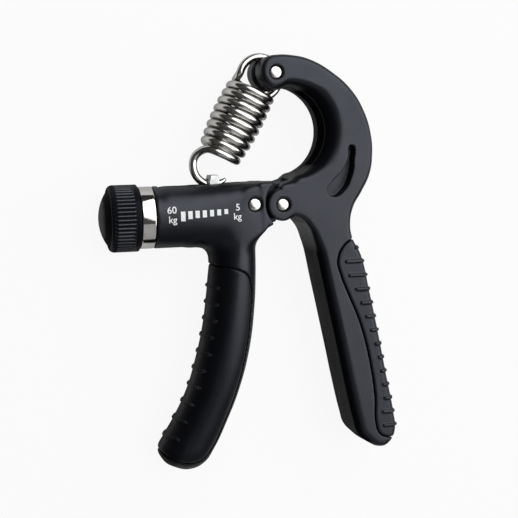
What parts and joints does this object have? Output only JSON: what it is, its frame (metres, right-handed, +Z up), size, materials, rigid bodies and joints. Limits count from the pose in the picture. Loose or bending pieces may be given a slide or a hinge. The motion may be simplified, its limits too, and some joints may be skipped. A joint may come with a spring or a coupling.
{
  "type": "adjustable hand gripper",
  "caption": "Hand grip strengthener with pivoting handles squeezed against an extension spring, whose pull is set by a ribbed knob on a lead screw.",
  "frame": {"origin": "middle of the footprint, on the surface that the gripper lies flat on", "axes": "+Z up, along the squeeze pivot; +X from the knob towards the curved arm, along the barrel; +Y away from the handles' tips, towards the spring"},
  "size_m": [0.1086, 0.1514, 0.0242],
  "materials": {
    "black_body": "satin moulded, near black",
    "black_rubber": "fine matt texture",
    "dial_black": "satin, ribbed",
    "cap_black": "smooth half gloss",
    "bright_steel": "bright, polished ends",
    "chrome_plate": "bright plated",
    "zinc_plate": "satin plated"
  },
  "bodies": {
    "right_body": {"right_frame": "black_body", "right_grip_rubber": "black_rubber", "pivot_pin": "bright_steel", "spring_pin": "bright_steel"},
    "left_body": {"left_frame": "black_body", "left_grip_rubber": "black_rubber", "cross_pin": "bright_steel", "end_cap": "chrome_plate"},
    "knob": {"thrust_washer": "bright_steel", "knob_dial": "dial_black", "knob_cap": "cap_black", "lead_screw": "bright_steel", "knob_screw": "bright_steel"},
    "nut": {"travelling_nut": "zinc_plate"},
    "spring": {"main_spring": "chrome_plate"}
  },
  "joints": [
    {"name": "squeeze", "type": "hinge", "parent": "right_body", "child": "left_body", "pos_m": [0.0113, 0.0207, 0.0121], "axis": [0, 0, 1], "range_deg": [0, 32], "stiffness_Nm_per_rad": 17, "springref_deg": -6.88, "deforming": ["main_spring"]},
    {"name": "knob_turn", "type": "hinge", "parent": "left_body", "child": "knob", "pos_m": [-0.0348, 0.0174, 0.0121], "axis": [-1, 0, 0], "range_deg": [-3360, 768]},
    {"name": "nut_slide", "type": "slide", "parent": "left_body", "child": "nut", "axis": [1, 0, 0], "range_m": [-0.0139, 0.0031]},
    {"name": "spring_swing", "type": "hinge", "parent": "right_body", "child": "spring", "pos_m": [0.0098, 0.0682, 0.0121], "axis": [0, 0, 1], "range_deg": [-13.5, 6]}
  ],
  "couplings": [
    {"joint": "knob_turn", "follows": "nut_slide", "rad_per_m": 4188.8},
    {"joint": "spring_swing", "follows": "nut_slide", "rad_per_m": 16.336}
  ]
}
